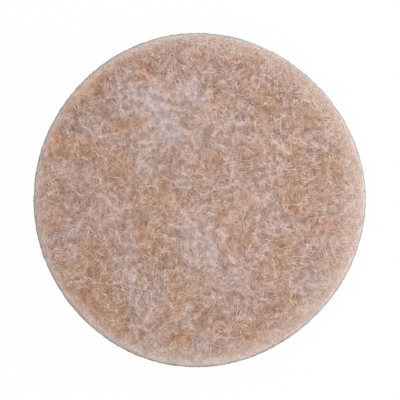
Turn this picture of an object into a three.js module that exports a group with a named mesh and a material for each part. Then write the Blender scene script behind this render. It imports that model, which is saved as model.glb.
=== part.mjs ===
// A round felt furniture pad, in millimetres, with +Z up.
// It is one disc, die-cut from a sheet of needled felt. It lies on its back, the face that is
// stuck under a furniture leg, and shows its wear face, the one that slides on the floor.
// The origin is the middle of the back.
import * as THREE from "three";

// Driving dimensions.
const DIAMETER = 25;
const THICKNESS = 3;

// The die rolls the edge of the wear face over a little as it cuts, which leaves a soft shoulder.
const SHOULDER_WIDTH = 0.25;
const SHOULDER_DROP = 0.25;

// The back edge is cut last and stays almost sharp.
const BACK_EDGE_RADIUS = 0.15;

// Felt that was squeezed by the die swells again, so the cut wall stands proud at half its height.
const WALL_SWELL = 0.12;

// The die is not quite round. Each term has this many lobes round the outline, a height in
// millimetres and the angle in degrees, anticlockwise from +X, of one of its high points.
const OUT_OF_ROUND = [
  { lobes: 2, height: 0.04, angle: 80.7 },
  { lobes: 3, height: 0.063, angle: 2.5 },
  { lobes: 4, height: 0.05, angle: -1.4 },
];

// How finely the round shapes are faceted.
const OUTLINE_SIDES = 112;
const SHOULDER_STEPS = 8;
const WALL_STEPS = 6;
const BACK_EDGE_STEPS = 3;

const RADIUS = DIAMETER / 2;

// The wall's foot and head. Its swell stays inside the diameter, so they stand back by that much.
const WALL_RADIUS = RADIUS - WALL_SWELL;
const WALL_FOOT = BACK_EDGE_RADIUS;
const WALL_HEAD = THICKNESS - SHOULDER_DROP;

// Points of a quarter ellipse about (x, z), from one angle in degrees to another, both included.
function quarterArc(x, z, width, height, from, to, steps) {
  return Array.from({ length: steps + 1 }, (_, i) => {
    const angle = THREE.MathUtils.degToRad(THREE.MathUtils.lerp(from, to, i / steps));
    return new THREE.Vector2(x + width * Math.cos(angle), z + height * Math.sin(angle));
  });
}

// The cut wall between the back edge and the shoulder, swollen like a flat barrel.
function swollenWall() {
  return Array.from({ length: WALL_STEPS - 1 }, (_, i) => {
    const share = (i + 1) / WALL_STEPS;
    const swell = WALL_SWELL * Math.sin(Math.PI * share);
    return new THREE.Vector2(WALL_RADIUS + swell, THREE.MathUtils.lerp(WALL_FOOT, WALL_HEAD, share));
  });
}

// Half of the pad's section, from the middle of the back, round the edge, to the middle of the
// wear face.
function section() {
  const backEdge = quarterArc(
    WALL_RADIUS - BACK_EDGE_RADIUS,
    BACK_EDGE_RADIUS,
    BACK_EDGE_RADIUS,
    BACK_EDGE_RADIUS,
    -90,
    0,
    BACK_EDGE_STEPS,
  );
  const shoulder = quarterArc(
    WALL_RADIUS - SHOULDER_WIDTH,
    WALL_HEAD,
    SHOULDER_WIDTH,
    SHOULDER_DROP,
    0,
    90,
    SHOULDER_STEPS,
  );
  return [
    new THREE.Vector2(0, 0),
    ...backEdge,
    ...swollenWall(),
    ...shoulder,
    new THREE.Vector2(0, THICKNESS),
  ];
}

// How far the outline stands off a true circle at an angle in radians.
function outOfRound(angle) {
  return OUT_OF_ROUND.reduce((sum, term) => {
    const high = THREE.MathUtils.degToRad(term.angle);
    return sum + term.height * Math.cos(term.lobes * (angle - high));
  }, 0);
}

// Turns the section about Z and lets the outline wander as the die does.
function padGeometry() {
  const geometry = new THREE.LatheGeometry(section(), OUTLINE_SIDES);
  geometry.rotateX(Math.PI / 2);
  const position = geometry.getAttribute("position");
  for (let i = 0; i < position.count; i++) {
    const x = position.getX(i);
    const y = position.getY(i);
    const stretch = 1 + outOfRound(Math.atan2(y, x)) / RADIUS;
    position.setXY(i, x * stretch, y * stretch);
  }
  geometry.computeVertexNormals();
  return geometry;
}

function feltPad() {
  const felt = new THREE.MeshStandardMaterial({ color: 0xb89a8d, roughness: 0.95, metalness: 0 });
  const pad = new THREE.Mesh(padGeometry(), felt);
  pad.name = "felt_pad";
  return pad;
}

const group = new THREE.Group();
group.name = "felt_furniture_pad";
group.add(feltPad());

export default group;
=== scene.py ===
import itertools
import math

import bpy
import numpy as np
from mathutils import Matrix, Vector


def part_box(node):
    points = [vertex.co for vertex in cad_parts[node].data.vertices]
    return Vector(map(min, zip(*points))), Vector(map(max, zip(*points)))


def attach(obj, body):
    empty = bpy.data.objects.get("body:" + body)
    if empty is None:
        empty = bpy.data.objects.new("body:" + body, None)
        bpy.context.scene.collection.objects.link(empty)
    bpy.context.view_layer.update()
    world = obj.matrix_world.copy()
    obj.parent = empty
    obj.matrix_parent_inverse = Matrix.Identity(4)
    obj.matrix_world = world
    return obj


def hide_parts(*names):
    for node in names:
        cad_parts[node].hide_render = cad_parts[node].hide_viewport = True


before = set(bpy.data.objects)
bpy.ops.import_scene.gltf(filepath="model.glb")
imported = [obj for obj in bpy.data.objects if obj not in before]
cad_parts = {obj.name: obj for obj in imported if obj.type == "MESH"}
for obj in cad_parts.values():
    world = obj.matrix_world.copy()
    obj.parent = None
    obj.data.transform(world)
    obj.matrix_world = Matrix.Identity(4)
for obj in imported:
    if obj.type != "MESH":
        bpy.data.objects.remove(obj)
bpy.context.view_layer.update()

MM = 0.001

# Sizes of the CAD solid.
pad_low, pad_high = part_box("felt_pad")
THICKNESS = pad_high.z - pad_low.z
RADIUS = (pad_high.x - pad_low.x + pad_high.y - pad_low.y) / 4

# Corners of the solid whose angles or places differ by less than this are taken as one, and those
# within this share of the radius are the middles of its two faces.
SAME_ANGLE = 0.001
SAME_PLACE = 0.001 * MM
AXIS_SHARE = 0.01

# The camera looks down through a long lens, and leans so far that a hair of the cut wall shows at
# the lower left. The pad stands a little to the left of the picture's middle.
VIEW_WIDTH = 2.404 * RADIUS
VIEW_CENTRE = Vector((0.0072 * RADIUS, -0.0003 * RADIUS, THICKNESS / 2))
CAMERA_DISTANCE = 48 * RADIUS
CAMERA_LEAN = math.radians(2.1)
CAMERA_BEARING = math.radians(227)

# Light. The shares of key and sky add up to what shows a colour as it is written. The sky is
# three times as strong overhead as at the horizon, at levels that add up to its share.
KEY_SHARE = 0.32
SKY_SHARE = 1 - KEY_SHARE
SKY_AT_HORIZON = SKY_SHARE * 3 / 7
SKY_OVERHEAD = SKY_SHARE * 9 / 7
KEY_DISTANCE = 4.5 * RADIUS
KEY_SIZE = 3.6 * RADIUS
KEY_BEARING = math.radians(8)
KEY_ELEVATION = math.radians(65)

# How much of the floor's white is its own, so that the pad's shadow on it stays faint.
FLOOR_OWN_WHITE = 0.97
FLOOR_COLOUR = (0.95, 0.95, 0.95, 1)
FLOOR_SIZE = 160 * RADIUS

# Mesh of the felt body: squares across the face, rings down the wall and rings in the back.
FACE_SQUARES = 160
WALL_RINGS = 16
BACK_RINGS = 6

# The body's surface lies under the fibres, in lumps: the size of a lump and its height. Over the
# last stretch before the shoulder it comes up and gets smoother, where the die pressed it.
FACE_DEPTH = 0.085 * MM
RIM_DEPTH = 0.055 * MM
RIM_SMOOTHNESS = 0.95
CALM_WIDTH = 0.7 * MM
LUMPS = ((1.9 * MM, 0.04 * MM), (0.8 * MM, 0.07 * MM), (0.4 * MM, 0.07 * MM))

# Soft noise repeats after this many lumps. Each use of it on the face has a seed.
NOISE_CELLS = 32
LOCK_SEED = 7
WISP_SEED = 8

# Every fibre is a tube with this many sides round it, and with more steps along it if it is long.
# It is thinner at its ends, by this share.
FIBRE_SIDES = 3
LONG_STEPS = 7
WALL_STEPS = 5
GLINT_STEPS = 3
END_TAPER = 0.7

# How much of the body's lumps the fibres follow, how steeply they sink in past the rim, and over
# how long a stretch.
FIBRE_FOLLOW = 0.95
FIBRE_SINK = 0.6
SINK_LENGTH = 0.6 * MM

# A fibre curls to and fro, with this length to each radian of the swing, and also bends evenly,
# by this share of its curl. Its height waves this many times from end to end.
SWING_LENGTH = (0.25 * MM, 0.8 * MM)
EVEN_BEND = 0.6
HEIGHT_WAVES = (1, 3.5)

# Fibres lie in bundles of a few side by side, and the bundles in locks: how wide a lock is, how
# far the locks turn, and how far a lock's bundles spread from its direction.
BUNDLE = 3
BUNDLE_WIDTH = 0.06 * MM
BUNDLE_SPREAD = math.radians(12)
LOCK_SIZE = 2.8 * MM
LOCK_TURN = math.radians(288)
LOCK_SPREAD = math.radians(45)

# Fibres on the face: their length, the radius of their curls, how far they wave up and down, how
# far their ends dip, and how far past the start of the shoulder they lie.
FACE_LENGTH = (1.3 * MM, 4.0 * MM)
FACE_CURL = 0.7 * MM
FACE_WAVE = 0.05 * MM
FACE_DIP = 0.12 * MM
FACE_OVERHANG = 0.3 * MM

# Strokes are fibres that lie by themselves, almost straight: their bow, wave and dip.
STROKE_BOW = 0.5
STROKE_WAVE = 0.02 * MM
STROKE_DIP = 0.1 * MM

# Glints are painted highlights: short shiny strokes of near-white wool that lie across the light,
# more or less.
GLINT_HEADING = math.radians(-50)
GLINT_SPREAD = math.radians(30)
GLINT_LENGTH = (0.25 * MM, 0.8 * MM)
GLINT_LEVELS = (0.03 * MM, 0.07 * MM)
GLINT_THICKNESS = (0.08 * MM, 0.13 * MM)
GLINT_MARGIN = 0.8 * MM

# Long fibres are shiny strokes in any direction, bleached half way to the painted highlight white.
LONG_LENGTH = (1.2 * MM, 4.8 * MM)
LONG_LEVELS = (0.03 * MM, 0.07 * MM)
LONG_THICKNESS = (0.06 * MM, 0.09 * MM)
LONG_MARGIN = 3 * MM

# Fibres on the cut wall: how far in from the shoulder their middles and their ends may lie, and
# how many radians they turn from level.
WALL_OVERHANG = 0.2 * MM
WALL_REACH = 0.6 * MM
WALL_SPREAD = 0.5
WALL_LENGTH = (0.8 * MM, 2.4 * MM)
WALL_CURL = 1.4 * MM
WALL_LEVELS = (-0.07 * MM, -0.01 * MM)
WALL_WAVE = 0.03 * MM
WALL_DIP = 0.1 * MM
WALL_THICKNESS = (0.05 * MM, 0.09 * MM)

# The cut wall starts where the section first comes this near to the outline's radius.
WALL_START_SHARE = 0.988

# Fibres in the back: how high over the floor, and how far inside the edge their middles and their
# ends stay.
BACK_HEIGHT = 0.04 * MM
BACK_MARGIN = 1.5 * MM
BACK_END_MARGIN = 0.5 * MM
BACK_LENGTH = (1.6 * MM, 3.8 * MM)
BACK_CURL = 1.5 * MM
BACK_LEVELS = (-0.03 * MM, 0.0)
BACK_WAVE = 0.04 * MM
BACK_DIP = 0.08 * MM
BACK_THICKNESS = (0.06 * MM, 0.1 * MM)

# Nothing reaches lower than this over the floor.
FLOOR_GAP = 0.005 * MM

# How much of a fibre's tone is its own from end to end. The rest is that of the place it is at.
OWN_TONE = 0.7

# Pale fibres gather in wisps, which cross each other like the threads of a wide net. They are
# thick at the palest clumps and leave the tan hollows bare.
WISP_SIZE = 1.8 * MM
WISP_WIDTH = 0.25
CLUMP_SIZE = 0.8 * MM
HOLLOW_SIZE = 0.9 * MM

# How pale the wool is between them all, what wisps and clumps add to that, what hollows take off,
# and the least that is left.
PLAIN_PALENESS = 0.3
WISP_PALENESS = 0.45
CLUMP_PALENESS = 0.5
HOLLOW_LOSS = 0.7
LEAST_PALENESS = 0.05

# How many places are tried for each fibre in the wisps.
WISP_TRIES = 6

# Where the tan hollows and the palest clumps are, in millimetres from the middle of the face.
TAN_HOLLOWS = (
    (-10.8, 4.1),
    (-9.8, 3.7),
    (-8.5, 3.8),
    (-8.4, 8.4),
    (-3.7, 10.6),
    (-5.0, 6.4),
    (-5.9, 2.8),
    (-2.8, 0.4),
    (1.2, 7.4),
    (0.9, 3.0),
    (4.6, 7.3),
    (3.2, 10.8),
    (8.6, 6.0),
    (7.2, 3.2),
    (10.5, 3.1),
    (7.4, 0.1),
    (6.4, -3.8),
    (3.2, -3.0),
    (-8.1, -4.6),
    (-8.2, -7.4),
    (-6.3, -8.8),
    (-3.8, -2.9),
    (-1.6, -7.3),
    (-1.2, -10.6),
    (4.0, -9.6),
    (6.6, -8.0),
    (10.6, -5.0),
)
PALE_CLUMPS = (
    (-4.1, 7.3),
    (-3.6, 7.6),
    (-3.2, 7.0),
    (-2.8, 6.4),
    (-2.3, 5.7),
    (-2.0, 5.0),
    (-5.3, 7.5),
    (-0.4, 7.9),
    (-4.2, 4.0),
    (-1.1, 1.5),
    (3.0, 1.2),
    (6.1, 2.5),
    (-0.3, -2.3),
    (0.7, -4.1),
    (3.0, -6.4),
    (-4.4, -9.4),
    (0.2, -11.0),
    (8.6, -6.4),
    (9.0, 4.8),
)

# Where the whitest fibres gather, and how far they spread from there.
WHITE_CLUMPS = (
    (-5.4, 7.5),
    (-4.4, 7.3),
    (-3.8, 7.5),
    (-3.2, 7.1),
    (-2.9, 6.3),
    (-2.3, 5.6),
    (-2.0, 4.9),
    (-0.6, 7.7),
    (-0.4, -2.3),
    (0.6, -4.0),
)
WHITE_SPREAD = 0.55 * MM

# Single pale fibres that stand out from the rest, partly paler wool and partly painted highlight,
# from end to end, in millimetres from the middle.
LONG_FIBRES = (
    ((3.4, 12.0), (3.1, 9.0)),
    ((3.7, -1.2), (3.7, -5.2)),
    ((3.5, 7.6), (4.0, 6.4)),
    ((4.3, 6.9), (4.0, 6.4)),
    ((6.2, 8.8), (6.6, 8.3)),
    ((2.6, 4.6), (3.6, 4.5)),
    ((3.1, 2.9), (3.9, 2.2)),
    ((8.7, 3.5), (10.0, 2.9)),
    ((8.6, 3.3), (9.0, 3.5)),
    ((-1.4, 5.9), (-0.2, 4.6)),
    ((-8.4, 0.5), (-9.4, 0.0)),
    ((-9.8, 1.3), (-9.4, 0.9)),
    ((-5.2, -1.1), (-4.8, -1.7)),
    ((-3.9, -2.3), (-3.0, -3.0)),
    ((-8.9, -4.4), (-8.5, -4.9)),
    ((-5.3, -5.5), (-4.1, -5.4)),
    ((-1.6, -6.1), (-1.0, -5.9)),
    ((-2.9, -8.0), (-2.3, -8.7)),
    ((-3.3, -9.4), (-2.0, -10.9)),
    ((2.5, -8.0), (2.8, -8.3)),
    ((0.6, -4.7), (0.8, -5.0)),
    ((7.4, 0.5), (8.4, -0.9)),
    ((6.0, 2.2), (8.5, 1.6)),
    ((-1.5, 7.3), (2.9, 8.1)),
    ((3.5, -4.9), (7.8, -1.5)),
    ((1.2, -3.4), (4.0, -5.9)),
    ((1.0, -5.6), (4.2, -3.6)),
    ((2.2, -6.4), (2.9, -2.8)),
)


def srgb(red, green, blue):
    """A colour as a screen shows it, from 0 to 255, in linear light."""
    shares = [c / 255 for c in (red, green, blue)]
    linear = [c / 12.92 if c <= 0.04045 else ((c + 0.055) / 1.055) ** 2.4 for c in shares]
    return (*linear, 1)


# The wool's tones, from the hollows to the wisps, and that of its whitest fibres, and the
# near-white of a painted highlight on its shiniest fibres.
TAN_WOOL = srgb(248, 208, 180)
BEIGE_WOOL = srgb(246, 213, 197)
PALE_WOOL = srgb(243, 219, 212)
WHITE_WOOL = srgb(241, 230, 235)
GLINT_HIGHLIGHT_WHITE = srgb(255, 240, 226)

# The tone at a place comes partly from how pale the wool is there, and partly from finer noise.
PATCH_SIZE = 0.8 * MM
PATCH_DETAIL = 3.0
PATCH_ROUGHNESS = 0.7
TONE_FROM_WOOL = 0.6
TONE_FROM_NOISE = 0.7
TONES = ((0.36, TAN_WOOL), (0.59, BEIGE_WOOL), (0.82, PALE_WOOL))

# Painted shade darkens it in small pits.
PIT_SIZE = 0.4 * MM
PIT_SHADE_TONES = ((0.36, (0.76, 0.67, 0.62, 1)), (0.62, (1, 1, 1, 1)))

# The rim is paler, down to its foot on the wall, partly as the felt the die pressed and partly as
# painted light. Where that starts and where it is full wander in and out, and on the right, towards
# the key light, they lie further in as painted light.
RIM_PALE_AND_LIGHT_COLOUR = srgb(247, 224, 210)
RIM_START = RADIUS - 0.8 * MM
RIM_FULL = RADIUS + 1.1 * MM
RIM_FOOT = THICKNESS - 1.2 * MM
RIM_WANDER = 2.2 * MM
RIM_WANDER_SIZE = 1.3 * MM
RIM_LIGHT_LEAN = 0.7 * MM

# The shoulder is paler still, as painted light, and the cut wall is duller, partly as painted
# shade.
EDGE_LIGHT_COLOUR = srgb(255, 244, 238)
EDGE_LIGHT_SHARE = 0.92
EDGE_LIGHT_START = RADIUS - 0.6 * MM
WALL_DULL_AND_SHADE_COLOUR = srgb(200, 177, 161)
WALL_SHARE = 0.7
WALL_TONE_START = THICKNESS - 0.45 * MM
WALL_TONE_FULL = THICKNESS - 0.85 * MM

# How rough each kind of wool is, and how bright its dimmest fibres are beside its brightest.
WOOL_ROUGHNESS = 0.75
WOOL_DIMMEST = 0.93
SHINY_ROUGHNESS = 0.25
SHINY_DIMMEST = 0.97
WALL_LEVEL = 0.98
WALL_DIMMEST = 0.85

# The body's own fine threads lie in two sets, each with its size, the turns it takes over the
# noise, and a seed. Their tones are painted shade, darkest between them and lighter on them.
THREAD_DETAIL = 1.0
BODY_THREADS = ((1.1 * MM, 17.0, 3.0), (0.9 * MM, 14.0, 5.0))
THREAD_SHADE_TONES = ((0.35, (0.6, 0.56, 0.54, 1)), (0.95, (0.84, 0.81, 0.79, 1)))
THREAD_RELIEF = 0.04 * MM
RELIEF_STRENGTH = 0.8
BODY_ROUGHNESS = 0.9


def cad_points():
    """Corners of the CAD solid away from its axis, as rows of x, y, z."""
    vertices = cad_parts["felt_pad"].data.vertices
    points = np.zeros(len(vertices) * 3, np.float32)
    vertices.foreach_get("co", points)
    points = points.reshape(-1, 3).astype(float)
    return points[np.hypot(points[:, 0], points[:, 1]) > AXIS_SHARE * RADIUS]


def read_outline(points):
    """The CAD solid's angles about Z, in order, and its radius at each."""
    turns = np.round(np.arctan2(points[:, 1], points[:, 0]), 4)
    angles, owner = np.unique(turns, return_inverse=True)
    radii = np.zeros(len(angles))
    np.maximum.at(radii, owner, np.hypot(points[:, 0], points[:, 1]))
    return angles, radii


OUTLINE_ANGLES, OUTLINE_RADII = read_outline(cad_points())


def outline(angle):
    """The CAD outline's radius at an angle."""
    return np.interp(angle, OUTLINE_ANGLES, OUTLINE_RADII, period=2 * math.pi)


def read_section(points):
    """Half of the CAD solid's section, from the middle of the wear face round to the middle of
    the back: shares of the outline's radius, and heights."""
    first = OUTLINE_ANGLES[len(OUTLINE_ANGLES) // 2]
    angle = np.arctan2(points[:, 1], points[:, 0])
    row = points[np.abs(angle - first) < SAME_ANGLE]
    share = np.hypot(row[:, 0], row[:, 1]) / outline(first)
    turn = np.arctan2(row[:, 2] - THICKNESS / 2, (share - 0.5) * RADIUS)
    order = np.argsort(-turn)
    share = np.concatenate([[0], share[order], [0]])
    height = np.concatenate([[THICKNESS], row[order, 2], [0]])
    gap = np.hypot(np.diff(share) * RADIUS, np.diff(height))
    distinct = np.append(True, gap > SAME_PLACE)
    return share[distinct], height[distinct]


SECTION_SHARE, SECTION_HEIGHT = read_section(cad_points())

# How far each point of the section is from the middle of the wear face, along the surface.
SECTION_STEPS = np.hypot(np.diff(SECTION_SHARE * RADIUS), np.diff(SECTION_HEIGHT))
SECTION_TRAVEL = np.append(0, np.cumsum(SECTION_STEPS))

# Where, along the surface, the shoulder starts, the wall starts and the back starts.
SHOULDER_TRAVEL = SECTION_TRAVEL[1]
WALL_TRAVEL = SECTION_TRAVEL[np.argmax(SECTION_SHARE > WALL_START_SHARE)]
BACK_TRAVEL = SECTION_TRAVEL[-2]
END_TRAVEL = SECTION_TRAVEL[-1]


def surface(x, y):
    """Points of the CAD surface, and its normals there. x and y are on the unrolled face: past
    the shoulder they go down the wall and on to the back."""
    travel = np.hypot(x, y)
    angle = np.arctan2(y, x)
    share = np.interp(travel, SECTION_TRAVEL, SECTION_SHARE)
    height = np.interp(travel, SECTION_TRAVEL, SECTION_HEIGHT)
    slope_out = np.gradient(SECTION_SHARE * RADIUS, SECTION_TRAVEL)
    slope_up = np.gradient(SECTION_HEIGHT, SECTION_TRAVEL)
    out = np.interp(travel, SECTION_TRAVEL, -slope_up)
    up = np.interp(travel, SECTION_TRAVEL, slope_out)
    normal = np.stack([out * np.cos(angle), out * np.sin(angle), up], axis=-1)
    radius = share * outline(angle)
    return np.stack([radius * np.cos(angle), radius * np.sin(angle), height], axis=-1), normal


def soft_noise(points, grain, seed):
    """Smooth noise from -1 to 1 at points, in lumps of the size grain."""
    lattice = np.random.default_rng(seed).uniform(-1, 1, (NOISE_CELLS,) * 3)
    place = points / grain
    cell = np.floor(place).astype(int)
    part = place - cell
    part = part * part * (3 - 2 * part)
    total = np.zeros(points.shape[:-1])
    for corner in itertools.product((0, 1), repeat=3):
        weight = np.prod(np.where(corner, part, 1 - part), axis=-1)
        index = (cell + corner) % NOISE_CELLS
        total += weight * lattice[index[..., 0], index[..., 1], index[..., 2]]
    return total


def lumps(points):
    """Height of the body's lumps at points of the CAD surface."""
    return sum(
        height * soft_noise(points, grain, seed) for seed, (grain, height) in enumerate(LUMPS)
    )


def rim_calm(travel):
    """0 on the face and 1 on the shoulder and the wall."""
    part = np.clip((travel - SHOULDER_TRAVEL + CALM_WIDTH) / CALM_WIDTH, 0, 1)
    return part * part * (3 - 2 * part)


def nearness(x, y, middles, size):
    """1 at the middles, which are in millimetres, and falling to 0 within about twice a size."""
    middles = np.array(middles) * MM
    reach = np.hypot(x[..., None] - middles[:, 0], y[..., None] - middles[:, 1])
    return np.exp(-((reach / size) ** 2)).max(axis=-1)


def paleness(x, y):
    """How much of the wool at places on the face is pale, from 0 to 1."""
    places = np.stack([x, y, np.zeros(x.shape)], axis=-1)
    wisps = np.exp(-((soft_noise(places, WISP_SIZE, WISP_SEED) / WISP_WIDTH) ** 2))
    clumps = nearness(x, y, PALE_CLUMPS, CLUMP_SIZE)
    hollows = nearness(x, y, TAN_HOLLOWS, HOLLOW_SIZE)
    pale = PLAIN_PALENESS + WISP_PALENESS * wisps + CLUMP_PALENESS * clumps
    return np.clip(pale - HOLLOW_LOSS * hollows, LEAST_PALENESS, 1)


def new_piece(name, points, pale_share, quads, triangles, material):
    """A smooth-shaded mesh that rides on the part's one body. pale_share is each point's own."""
    points[..., 2] = np.maximum(points[..., 2], FLOOR_GAP)
    mesh = bpy.data.meshes.new(name)
    corners = np.concatenate([quads.ravel(), triangles.ravel()])
    starts = np.concatenate(
        [np.arange(len(quads)) * 4, quads.size + np.arange(len(triangles)) * 3]
    )
    mesh.vertices.add(len(points))
    mesh.vertices.foreach_set("co", points.astype(np.float32).ravel())
    mesh.loops.add(len(corners))
    mesh.loops.foreach_set("vertex_index", corners.astype(np.int32))
    mesh.polygons.add(len(starts))
    mesh.polygons.foreach_set("loop_start", starts.astype(np.int32))
    mesh.update(calc_edges=True)
    mesh.validate()
    mesh.shade_smooth()
    pale = mesh.attributes.new("paleness", "FLOAT", "POINT")
    pale.data.foreach_set("value", pale_share.astype(np.float32))
    mesh.materials.append(material)
    piece = bpy.data.objects.new(name, mesh)
    bpy.context.scene.collection.objects.link(piece)
    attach(piece, "root")
    return piece


def face_grid():
    """Unrolled places of a square grid that is bent into a disc, row by row."""
    side = np.linspace(-1, 1, FACE_SQUARES + 1)
    a, b = np.meshgrid(side, side, indexing="ij")
    along_a = np.abs(a) > np.abs(b)
    reach = np.where(along_a, a, b)
    safe = np.where(reach == 0, 1, reach)
    turn = np.where(along_a, b / safe, 2 - a / safe) * math.pi / 4
    return WALL_TRAVEL * reach * np.cos(turn), WALL_TRAVEL * reach * np.sin(turn)


def rim_of_grid():
    """Numbers of the grid's outer points, anticlockwise."""
    count = FACE_SQUARES + 1
    number = np.arange(count * count).reshape(count, count)
    return np.concatenate(
        [number[-1, :-1], number[::-1, -1][:-1], number[0, ::-1][:-1], number[:-1, 0]]
    )


def body_faces():
    """Unrolled places of the body's points, and the numbers of its squares and triangles: a grid
    on the face, rings down the wall and in the back, and a fan round the middle of the back."""
    x, y = face_grid()
    count = FACE_SQUARES + 1
    number = np.arange(count * count).reshape(count, count)
    squares = np.stack(
        [number[:-1, :-1], number[1:, :-1], number[1:, 1:], number[:-1, 1:]], axis=-1
    ).reshape(-1, 4)
    rim = rim_of_grid()
    angle = np.arctan2(y.ravel()[rim], x.ravel()[rim])
    wall = np.linspace(WALL_TRAVEL, BACK_TRAVEL, WALL_RINGS + 1)[1:]
    back = np.linspace(BACK_TRAVEL, END_TRAVEL, BACK_RINGS + 1)[1:-1]
    travels = np.concatenate([wall, back])
    ring_x = travels[:, None] * np.cos(angle)
    ring_y = travels[:, None] * np.sin(angle)
    x = np.concatenate([x.ravel(), ring_x.ravel(), [END_TRAVEL]])
    y = np.concatenate([y.ravel(), ring_y.ravel(), [0]])
    rings = [rim] + [
        count * count + k * len(rim) + np.arange(len(rim)) for k in range(len(travels))
    ]
    bands = [
        np.stack([upper, lower, np.roll(lower, -1), np.roll(upper, -1)], axis=-1)
        for upper, lower in zip(rings, rings[1:])
    ]
    last = rings[-1]
    middle = np.full(len(last), len(x) - 1)
    fan = np.stack([last, middle, np.roll(last, -1)], axis=-1)
    return x, y, np.concatenate([squares, *bands]), fan


def felt_body(material):
    """The pad's own solid: the CAD form, sunk a little and lumpy, under the fibres."""
    x, y, squares, triangles = body_faces()
    foot, normal = surface(x, y)
    calm = rim_calm(np.hypot(x, y))
    lift = (1 - RIM_SMOOTHNESS * calm) * lumps(foot)
    lift -= FACE_DEPTH + calm * (RIM_DEPTH - FACE_DEPTH)
    body = new_piece(
        "felt_body",
        foot + lift[:, None] * normal,
        paleness(foot[:, 0], foot[:, 1]),
        squares,
        triangles,
        material,
    )
    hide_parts("felt_pad")
    return body


def scattered(rng, count, inner, outer):
    """Unrolled places spread evenly between two distances from the middle."""
    travel = np.sqrt(rng.uniform(inner**2, outer**2, count))
    angle = rng.uniform(0, 2 * math.pi, count)
    return travel * np.cos(angle), travel * np.sin(angle)


def clumped(rng, count, clumps, spread):
    """Unrolled places gathered round clumps."""
    middles = np.array(clumps)[rng.integers(len(clumps), size=count)] * MM
    places = middles + rng.normal(0, spread, (count, 2))
    return places[:, 0], places[:, 1]


def in_bundles(values):
    """Gives every fibre of a bundle its first fibre's value."""
    return values[np.arange(len(values)) // BUNDLE * BUNDLE]


def fibre_lines(rng, x, y, heading, length, curl, steps):
    """Unrolled x and y along fibres whose middles are at x and y. curl is how sharply they
    bend."""
    step = length[:, None] / steps
    along = (np.arange(steps) + 0.5) * step
    bend = in_bundles(rng.normal(0, EVEN_BEND * curl, (len(x), 1)))
    swing = in_bundles(rng.normal(0, curl, (len(x), 1)))
    wave = in_bundles(rng.uniform(*SWING_LENGTH, (len(x), 1)))
    start = in_bundles(rng.uniform(0, 2 * math.pi, (len(x), 1)))
    turn = (bend + swing * np.sin(along / wave + start)) * step
    heading = heading[:, None] + np.cumsum(turn, axis=1)
    x_line = np.cumsum(np.cos(heading) * step, axis=1)
    y_line = np.cumsum(np.sin(heading) * step, axis=1)
    x_line = np.insert(x_line, 0, 0, axis=1)
    y_line = np.insert(y_line, 0, 0, axis=1)
    middle = steps // 2
    x_line += x[:, None] - x_line[:, middle : middle + 1]
    y_line += y[:, None] - y_line[:, middle : middle + 1]
    return x_line, y_line


def lock_heading(rng, x, y):
    """Headings that fibres near each other share, more or less."""
    places = np.stack([x, y, np.zeros(len(x))], axis=-1)
    shared = LOCK_TURN * soft_noise(places, LOCK_SIZE, LOCK_SEED)
    own = rng.normal(0, LOCK_SPREAD, len(x)) + math.pi * rng.integers(2, size=len(x))
    return in_bundles(shared + own) + rng.normal(0, BUNDLE_SPREAD, len(x))


def sunk_at_rim(rng, x, y, lift):
    """Lets fibres sink into the body where they pass the cut, each at its own place."""
    limit = rng.uniform(SHOULDER_TRAVEL - CALM_WIDTH, WALL_TRAVEL, (len(x), 1))
    return lift - FIBRE_SINK * np.clip(np.hypot(x, y) - limit, 0, SINK_LENGTH)


def laid(x, y, lift):
    """Centre lines of fibres that lie on the lumpy body, and which way is out."""
    foot, normal = surface(x, y)
    calm = rim_calm(np.hypot(x, y))
    follow = FIBRE_FOLLOW * (1 - RIM_SMOOTHNESS * calm) * lumps(foot)
    return foot + (lift + follow)[..., None] * normal, normal


def fibre_lifts(rng, count, levels, wave, dip, steps):
    """Heights along fibres: each has its own level, waves about it and dips at both ends."""
    share = np.linspace(0, 1, steps + 1)
    level = rng.uniform(*levels, (count, 1))
    waves = rng.uniform(*HEIGHT_WAVES, (count, 1))
    start = rng.uniform(0, 2 * math.pi, (count, 1))
    rise = wave * np.sin(2 * math.pi * waves * share + start)
    return level + rise - dip * np.abs(2 * share - 1) ** 4


def fibre_piece(name, centre, normal, radius, material):
    """Closed tubes along centre lines."""
    along = np.gradient(centre, axis=1)
    along /= np.linalg.norm(along, axis=2, keepdims=True)
    side = np.cross(along, normal)
    side /= np.maximum(np.linalg.norm(side, axis=2, keepdims=True), 1e-9)
    over = np.cross(side, along)
    count, rows = centre.shape[:2]
    share = np.linspace(-1, 1, rows)
    thick = radius[:, None] * (1 - END_TAPER * share**6)
    points = np.zeros((count, rows, FIBRE_SIDES, 3))
    for k in range(FIBRE_SIDES):
        angle = 2 * math.pi * k / FIBRE_SIDES + math.pi / 2
        way = math.cos(angle) * side + math.sin(angle) * over
        points[:, :, k] = centre + thick[..., None] * way
    number = np.arange(count * rows * FIBRE_SIDES).reshape(count, rows, FIBRE_SIDES)
    after = np.roll(number, -1, axis=2)
    quads = np.stack(
        [number[:, :-1], number[:, 1:], after[:, 1:], after[:, :-1]], axis=-1
    ).reshape(-1, 4)
    caps = np.concatenate([number[:, 0], number[:, -1, ::-1]])
    around = paleness(centre[..., 0], centre[..., 1])
    own = around[:, rows // 2 : rows // 2 + 1]
    pale_share = np.repeat(around + OWN_TONE * (own - around), FIBRE_SIDES)
    return new_piece(name, points.reshape(-1, 3), pale_share, quads, caps, material)


def new_material(name, roughness):
    """A material, its node tree and its main shader."""
    material = bpy.data.materials.new(name)
    material.use_nodes = True
    shader = material.node_tree.nodes["Principled BSDF"]
    shader.inputs["Roughness"].default_value = roughness
    return material, material.node_tree, shader


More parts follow.
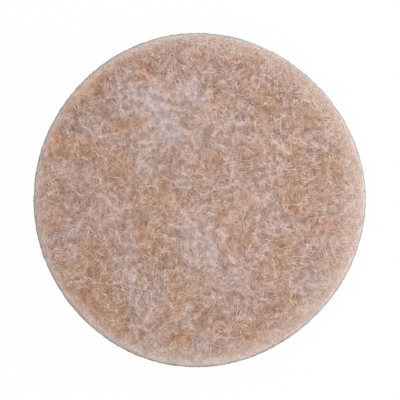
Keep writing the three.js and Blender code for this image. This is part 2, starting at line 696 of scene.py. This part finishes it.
def noise_at(tree, size, detail=2.0, roughness=0.5):
    """Noise in object coordinates, with lumps of a size."""
    places = tree.nodes.new("ShaderNodeTexCoord")
    noise = tree.nodes.new("ShaderNodeTexNoise")
    noise.inputs["Scale"].default_value = 1 / size
    noise.inputs["Detail"].default_value = detail
    noise.inputs["Roughness"].default_value = roughness
    tree.links.new(places.outputs["Object"], noise.inputs["Vector"])
    return noise.outputs["Fac"]


def ramp(tree, value, stops):
    """Colours along a value: pairs of a place from 0 to 1 and a colour."""
    node = tree.nodes.new("ShaderNodeValToRGB")
    elements = node.color_ramp.elements
    while len(elements) < len(stops):
        elements.new(0.5)
    for element, (place, colour) in zip(elements, stops):
        element.position = place
        element.color = colour
    tree.links.new(value, node.inputs["Fac"])
    return node.outputs["Color"]


def set_or_link(tree, value, socket):
    """Puts a constant on a socket, or links another node's output to it."""
    if isinstance(value, bpy.types.NodeSocket):
        tree.links.new(value, socket)
    else:
        socket.default_value = value


def mixed(tree, share, first, second, blend="MIX"):
    """Two colours mixed; share is how much of the second."""
    node = tree.nodes.new("ShaderNodeMix")
    node.data_type = "RGBA"
    node.blend_type = blend
    colours = [socket for socket in node.inputs if socket.type == "RGBA"]
    set_or_link(tree, share, node.inputs["Factor"])
    set_or_link(tree, first, colours[0])
    set_or_link(tree, second, colours[1])
    return next(socket for socket in node.outputs if socket.type == "RGBA")


def calculated(tree, operation, first, second):
    """One step of arithmetic on numbers or other nodes' outputs."""
    node = tree.nodes.new("ShaderNodeMath")
    node.operation = operation
    set_or_link(tree, first, node.inputs[0])
    set_or_link(tree, second, node.inputs[1])
    return node.outputs["Value"]


def ranged(tree, value, low, high):
    """0 at low, 1 at high, and smooth between them."""
    node = tree.nodes.new("ShaderNodeMapRange")
    node.interpolation_type = "SMOOTHSTEP"
    node.inputs["From Min"].default_value = low
    node.inputs["From Max"].default_value = high
    tree.links.new(value, node.inputs["Value"])
    return node.outputs["Result"]


def patches(tree):
    """The wool's tone, from tan in the hollows to pale in the wisps, and in small patches."""
    pale = tree.nodes.new("ShaderNodeAttribute")
    pale.attribute_name = "paleness"
    noise = noise_at(tree, PATCH_SIZE, PATCH_DETAIL, PATCH_ROUGHNESS)
    from_wool = calculated(tree, "MULTIPLY", pale.outputs["Fac"], TONE_FROM_WOOL)
    from_noise = calculated(tree, "MULTIPLY", noise, TONE_FROM_NOISE)
    return ramp(tree, calculated(tree, "ADD", from_wool, from_noise), TONES)


def pit_shade(tree):
    """Painted shade in small pits between paler tufts."""
    return ramp(tree, noise_at(tree, PIT_SIZE), PIT_SHADE_TONES)


def rim_edge_and_wall(tree):
    """1 on the rim of paler felt and painted light, whose inner edge wanders and lies further in
    towards the light, 1 on the shoulder's edge of painted light and 1 on the wall of duller felt
    and painted shade.
    """
    places = tree.nodes.new("ShaderNodeTexCoord").outputs["Object"]
    split = tree.nodes.new("ShaderNodeSeparateXYZ")
    tree.links.new(places, split.inputs["Vector"])
    x, y, z = (split.outputs[axis] for axis in "XYZ")
    square = calculated(
        tree, "ADD", calculated(tree, "POWER", x, 2.0), calculated(tree, "POWER", y, 2.0)
    )
    from_axis = calculated(tree, "SQRT", square, 0.0)
    # On the right, towards the key light, the rim reaches further in: painted light.
    light_lean = calculated(tree, "MULTIPLY", x, RIM_LIGHT_LEAN / RADIUS)
    wander = calculated(tree, "MULTIPLY", noise_at(tree, RIM_WANDER_SIZE), RIM_WANDER)
    reach = calculated(tree, "ADD", calculated(tree, "ADD", from_axis, light_lean), wander)
    top = ranged(tree, z, RIM_FOOT, THICKNESS)
    rim = ranged(tree, reach, RIM_START, RIM_FULL)
    edge_light = ranged(tree, from_axis, EDGE_LIGHT_START, RADIUS)
    wall = ranged(tree, z, WALL_TONE_START, WALL_TONE_FULL)
    return calculated(tree, "MULTIPLY", rim, top), edge_light, wall


def felt_colour(tree, whiteness=0.0, white=WHITE_WOOL):
    """Wool on the face, with painted shade in its pits. It is paler on the rim, partly as felt the
    die pressed and partly as painted light, paler still on the shoulder's edge as painted light,
    and duller on the wall, partly as painted shade. whiteness is how far it is bleached towards
    white."""
    rim, edge_light, wall = rim_edge_and_wall(tree)
    wool = mixed(tree, whiteness, patches(tree), white)
    # Painted shade in the pits.
    face = mixed(tree, 1.0, wool, pit_shade(tree), "MULTIPLY")
    edge_light = calculated(tree, "MULTIPLY", edge_light, EDGE_LIGHT_SHARE)
    wall = calculated(tree, "MULTIPLY", wall, WALL_SHARE)
    # Paler felt and painted light on the rim, and painted light on the shoulder's edge.
    top = mixed(tree, edge_light, mixed(tree, rim, face, RIM_PALE_AND_LIGHT_COLOUR), EDGE_LIGHT_COLOUR)
    # The wall is duller, partly as painted shade.
    return mixed(tree, wall, top, WALL_DULL_AND_SHADE_COLOUR)


def fibre_material(name, level, dimmest, roughness, whiteness=0.0, white=WHITE_WOOL):
    """Felt at a brightness, of which each fibre has its own share from the dimmest up to 1."""
    material, tree, shader = new_material(name, roughness)
    own = tree.nodes.new("ShaderNodeNewGeometry").outputs["Random Per Island"]
    low = dimmest * level
    levels = ramp(tree, own, ((0.0, (low, low, low, 1)), (1.0, (level, level, level, 1))))
    tone = mixed(tree, 1.0, felt_colour(tree, whiteness, white), levels, "MULTIPLY")
    tree.links.new(tone, shader.inputs["Base Color"])
    return material


def wool_material(name, level, whiteness):
    """Dull wool at a brightness."""
    return fibre_material(name, level, WOOL_DIMMEST, WOOL_ROUGHNESS, whiteness)


def sheen_and_highlight_material(name, whiteness):
    """Wool at its brightest, with a sheen, bleached towards a painted highlight white."""
    return fibre_material(name, 1.0, SHINY_DIMMEST, SHINY_ROUGHNESS, whiteness, GLINT_HIGHLIGHT_WHITE)


def threads(tree, size, turns, seed):
    """Curly lines of felt, from 0 between them to 1 on them: along each, a noise stays the same."""
    noise = noise_at(tree, size, THREAD_DETAIL).node
    noise.noise_dimensions = "4D"
    noise.inputs["W"].default_value = seed
    height = calculated(tree, "MULTIPLY", noise.outputs["Fac"], turns)
    return calculated(tree, "MULTIPLY", calculated(tree, "PINGPONG", height, 0.5), 2.0)


def body_material():
    """Felt with its finest threads as colour and bump, with painted shade between them, under the
    fibres that are geometry.
    """
    material, tree, shader = new_material("felt_body", BODY_ROUGHNESS)
    crossed = calculated(tree, "MAXIMUM", *(threads(tree, *kind) for kind in BODY_THREADS))
    # Painted shade, darkest between the threads.
    shade = ramp(tree, crossed, THREAD_SHADE_TONES)
    tone = mixed(tree, 1.0, felt_colour(tree), shade, "MULTIPLY")
    tree.links.new(tone, shader.inputs["Base Color"])
    bump = tree.nodes.new("ShaderNodeBump")
    bump.inputs["Distance"].default_value = THREAD_RELIEF
    bump.inputs["Strength"].default_value = RELIEF_STRENGTH
    tree.links.new(crossed, bump.inputs["Height"])
    tree.links.new(bump.outputs["Normal"], shader.inputs["Normal"])
    return material


def face_fibres(name, seed, count, places, levels, thickness, material):
    """Fibres on the face. places draws where they lie, levels are how high they lie, and
    thickness is how thick they are."""
    rng = np.random.default_rng(seed)
    x, y = places(rng, count)
    count = len(x)
    x = in_bundles(x) + rng.normal(0, BUNDLE_WIDTH, count)
    y = in_bundles(y) + rng.normal(0, BUNDLE_WIDTH, count)
    heading = lock_heading(rng, x, y)
    length = rng.uniform(*FACE_LENGTH, count)
    x, y = fibre_lines(rng, x, y, heading, length, 1 / FACE_CURL, LONG_STEPS)
    lift = fibre_lifts(rng, count, levels, FACE_WAVE, FACE_DIP, LONG_STEPS)
    lift = sunk_at_rim(rng, x, y, lift)
    radius = rng.uniform(*thickness, count) / 2
    return fibre_piece(name, *laid(x, y, lift), radius, material)


def ends_about(middle, length, heading):
    """Both ends of straight strokes."""
    half = length[:, None] / 2 * np.stack([np.cos(heading), np.sin(heading)], axis=-1)
    return np.stack([middle - half, middle + half], axis=1)


def strokes(name, rng, ends, steps, levels, thickness, material):
    """Single fibres on the face, each from one end to the other in a slight bow."""
    count = len(ends)
    share = np.linspace(0, 1, steps + 1)[None, :, None]
    way = (ends[:, 1] - ends[:, 0])[:, None]
    across = np.stack([-way[..., 1], way[..., 0]], axis=-1)
    bow = rng.normal(0, STROKE_BOW, (count, 1, 1)) * share * (1 - share)
    line = ends[:, :1] + share * way + bow * across
    x, y = line[..., 0], line[..., 1]
    lift = fibre_lifts(rng, count, levels, STROKE_WAVE, STROKE_DIP, steps)
    lift = sunk_at_rim(rng, x, y, lift)
    radius = rng.uniform(*thickness, count) / 2
    return fibre_piece(name, *laid(x, y, lift), radius, material)


def long_fibres(name, seed, strays, material):
    """The single fibres that stand out, and strays like them in any direction, partly painted
    highlight.
    """
    rng = np.random.default_rng(seed)
    middle = np.stack(scattered(rng, strays, 0, RADIUS - LONG_MARGIN), axis=-1)
    length = rng.uniform(*LONG_LENGTH, strays)
    heading = rng.uniform(0, math.pi, strays)
    ends = np.concatenate([np.array(LONG_FIBRES) * MM, ends_about(middle, length, heading)])
    return strokes(name, rng, ends, LONG_STEPS, LONG_LEVELS, LONG_THICKNESS, material)


def glints(name, seed, count, material):
    """Short shiny strokes all over the face, near-white as painted highlights."""
    rng = np.random.default_rng(seed)
    middle = np.stack(scattered(rng, count, 0, RADIUS - GLINT_MARGIN), axis=-1)
    length = rng.uniform(*GLINT_LENGTH, count)
    heading = rng.normal(GLINT_HEADING, GLINT_SPREAD, count)
    ends = ends_about(middle, length, heading)
    return strokes(name, rng, ends, GLINT_STEPS, GLINT_LEVELS, GLINT_THICKNESS, material)


def everywhere(rng, count):
    """Places all over the face."""
    return scattered(rng, count, 0, SHOULDER_TRAVEL + FACE_OVERHANG)


def in_wisps(rng, count):
    """Places on the face that are the more likely, the paler the wool is there."""
    x, y = everywhere(rng, WISP_TRIES * count)
    kept = np.flatnonzero(rng.random(len(x)) < paleness(x, y))[:count]
    return x[kept], y[kept]


def in_clumps(rng, count):
    """Places about the whitest clumps."""
    return clumped(rng, count, WHITE_CLUMPS, WHITE_SPREAD)


def wall_fibres(name, seed, count, material):
    """Fibres on the shoulder and the cut wall, most of which run along the edge."""
    rng = np.random.default_rng(seed)
    x, y = scattered(rng, count, SHOULDER_TRAVEL - WALL_OVERHANG, BACK_TRAVEL)
    heading = np.arctan2(y, x) + math.pi / 2 + rng.normal(0, WALL_SPREAD, count)
    heading += math.pi * rng.integers(2, size=count)
    length = rng.uniform(*WALL_LENGTH, count)
    x, y = fibre_lines(rng, x, y, heading, length, 1 / WALL_CURL, WALL_STEPS)
    travel = np.hypot(x, y)
    on_wall = np.clip(travel, SHOULDER_TRAVEL - WALL_REACH, BACK_TRAVEL) / travel
    x, y = x * on_wall, y * on_wall
    lift = fibre_lifts(rng, count, WALL_LEVELS, WALL_WAVE, WALL_DIP, WALL_STEPS)
    radius = rng.uniform(*WALL_THICKNESS, count) / 2
    return fibre_piece(name, *laid(x, y, lift), radius, material)


def back_fibres(name, seed, count, material):
    """Fibres in the back, flat against what the pad lies on."""
    rng = np.random.default_rng(seed)
    x, y = scattered(rng, count, 0, RADIUS - BACK_MARGIN)
    length = rng.uniform(*BACK_LENGTH, count)
    x, y = fibre_lines(rng, x, y, lock_heading(rng, x, y), length, 1 / BACK_CURL, LONG_STEPS)
    inside = np.minimum(1, (RADIUS - BACK_END_MARGIN) / np.hypot(x, y))
    x, y = x * inside, y * inside
    height = BACK_HEIGHT - fibre_lifts(rng, count, BACK_LEVELS, BACK_WAVE, BACK_DIP, LONG_STEPS)
    normal = np.zeros((*x.shape, 3))
    normal[..., 2] = -1
    radius = rng.uniform(*BACK_THICKNESS, count) / 2
    return fibre_piece(name, np.stack([x, y, height], axis=-1), normal, radius, material)


def new_shader(tree, kind, **inputs):
    """A shader node with some of its inputs set."""
    node = tree.nodes.new(kind)
    for name, value in inputs.items():
        node.inputs[name].default_value = value
    return node


def seen_directly(tree):
    """1 for what the camera sees, also by reflection or through glass."""
    rays = tree.nodes.new("ShaderNodeLightPath").outputs
    mirrored = calculated(tree, "MAXIMUM", rays["Is Glossy Ray"], rays["Is Transmission Ray"])
    return calculated(tree, "MAXIMUM", rays["Is Camera Ray"], mirrored)


def floor():
    """A white floor that keeps a faint shadow of the pad."""
    half = FLOOR_SIZE / 2
    mesh = bpy.data.meshes.new("floor")
    mesh.from_pydata(
        [(-half, -half, 0), (half, -half, 0), (half, half, 0), (-half, half, 0)],
        [],
        [(0, 1, 2, 3)],
    )
    material = bpy.data.materials.new("floor")
    material.use_nodes = True
    tree = material.node_tree
    tree.nodes.remove(tree.nodes["Principled BSDF"])
    paper = new_shader(tree, "ShaderNodeBsdfDiffuse", Color=FLOOR_COLOUR)
    white = new_shader(tree, "ShaderNodeEmission", Strength=1.0)
    share = calculated(tree, "MULTIPLY", seen_directly(tree), FLOOR_OWN_WHITE)
    blend = tree.nodes.new("ShaderNodeMixShader")
    tree.links.new(share, blend.inputs["Fac"])
    tree.links.new(paper.outputs["BSDF"], blend.inputs[1])
    tree.links.new(white.outputs["Emission"], blend.inputs[2])
    tree.links.new(blend.outputs["Shader"], tree.nodes["Material Output"].inputs["Surface"])
    mesh.materials.append(material)
    piece = bpy.data.objects.new("floor", mesh)
    bpy.context.scene.collection.objects.link(piece)


def sky():
    """Soft light from all round, strongest overhead, and plain white where the camera sees it."""
    world = bpy.data.worlds.new("sky")
    world.use_nodes = True
    tree = world.node_tree
    glow = tree.nodes["Background"]
    glow.inputs["Color"].default_value = (1, 1, 1, 1)
    split = tree.nodes.new("ShaderNodeSeparateXYZ")
    places = tree.nodes.new("ShaderNodeTexCoord")
    tree.links.new(places.outputs["Generated"], split.inputs["Vector"])
    level = tree.nodes.new("ShaderNodeMapRange")
    level.inputs["To Min"].default_value = SKY_AT_HORIZON
    level.inputs["To Max"].default_value = SKY_OVERHEAD
    tree.links.new(split.outputs["Z"], level.inputs["Value"])
    strength = calculated(tree, "MAXIMUM", seen_directly(tree), level.outputs["Result"])
    tree.links.new(strength, glow.inputs["Strength"])
    bpy.context.scene.world = world


def direction(bearing, elevation):
    """A unit vector, from angles anticlockwise from +X and up from the floor."""
    out = math.cos(elevation)
    return Vector((out * math.cos(bearing), out * math.sin(bearing), math.sin(elevation)))


def key_light():
    """A large soft lamp from the right and a little from the top of the picture."""
    lamp = bpy.data.lights.new("key", "AREA")
    lamp.shape = "DISK"
    lamp.size = KEY_SIZE
    # By this light alone, white paper on the floor would show about the key's share of white.
    lamp.energy = KEY_SHARE * (math.pi * KEY_DISTANCE) ** 2 / math.sin(KEY_ELEVATION)
    way = direction(KEY_BEARING, KEY_ELEVATION)
    piece = bpy.data.objects.new("key", lamp)
    piece.location = way * KEY_DISTANCE
    piece.rotation_euler = way.to_track_quat("Z", "Y").to_euler()
    bpy.context.scene.collection.objects.link(piece)


def camera():
    """A long lens that looks almost straight down, with +Y up in the picture."""
    lens = bpy.data.cameras.new("camera")
    lens.lens = lens.sensor_width * CAMERA_DISTANCE / VIEW_WIDTH
    lens.clip_start = 0.1 * CAMERA_DISTANCE
    lens.clip_end = 10 * CAMERA_DISTANCE
    way = direction(CAMERA_BEARING, math.pi / 2 - CAMERA_LEAN)
    piece = bpy.data.objects.new("camera", lens)
    piece.location = VIEW_CENTRE + way * CAMERA_DISTANCE
    piece.rotation_euler = (-math.asin(way.y), math.atan2(way.x, way.z), 0)
    bpy.context.scene.collection.objects.link(piece)
    bpy.context.scene.camera = piece


# Wool on the face, from the bottom up: each layer's name, seed and count, where it lies, how high
# and how thick its fibres are in millimetres, how bright it is and how far it is bleached. The
# deeper layers are darker as painted shade.
FACE_LAYERS = (
    ("deep_fibres", 11, 3900, everywhere, (-0.1, -0.02), (0.06, 0.1), 0.84, 0.0),
    ("middle_fibres", 12, 4400, everywhere, (-0.07, 0.0), (0.06, 0.1), 0.9, 0.0),
    ("wisp_fibres", 13, 4400, in_wisps, (-0.04, 0.02), (0.05, 0.09), 0.95, 0.15),
    ("white_fibres", 14, 900, in_clumps, (-0.05, 0.03), (0.035, 0.07), 0.96, 0.8),
)

body = felt_body(body_material())
for name, seed, count, places, levels, thickness, brightness, whiteness in FACE_LAYERS:
    face_fibres(
        name,
        seed,
        count,
        places,
        [level * MM for level in levels],
        [size * MM for size in thickness],
        wool_material(name, brightness, whiteness),
    )
# Glints are near-white painted highlights, and the long fibres are bleached half way to that white.
glints("glints", seed=15, count=650, material=sheen_and_highlight_material("glints", whiteness=1.0))
long_fibres(
    "long_fibres", seed=18, strays=320, material=sheen_and_highlight_material("long_fibres", whiteness=0.5)
)
wall_material = fibre_material("wall_fibres", WALL_LEVEL, WALL_DIMMEST, WOOL_ROUGHNESS)
wall_fibres("wall_fibres", seed=16, count=5400, material=wall_material)
back_fibres("back_fibres", seed=17, count=900, material=wall_material)
floor()
sky()
key_light()
camera()
bpy.context.scene.view_settings.view_transform = "Standard"
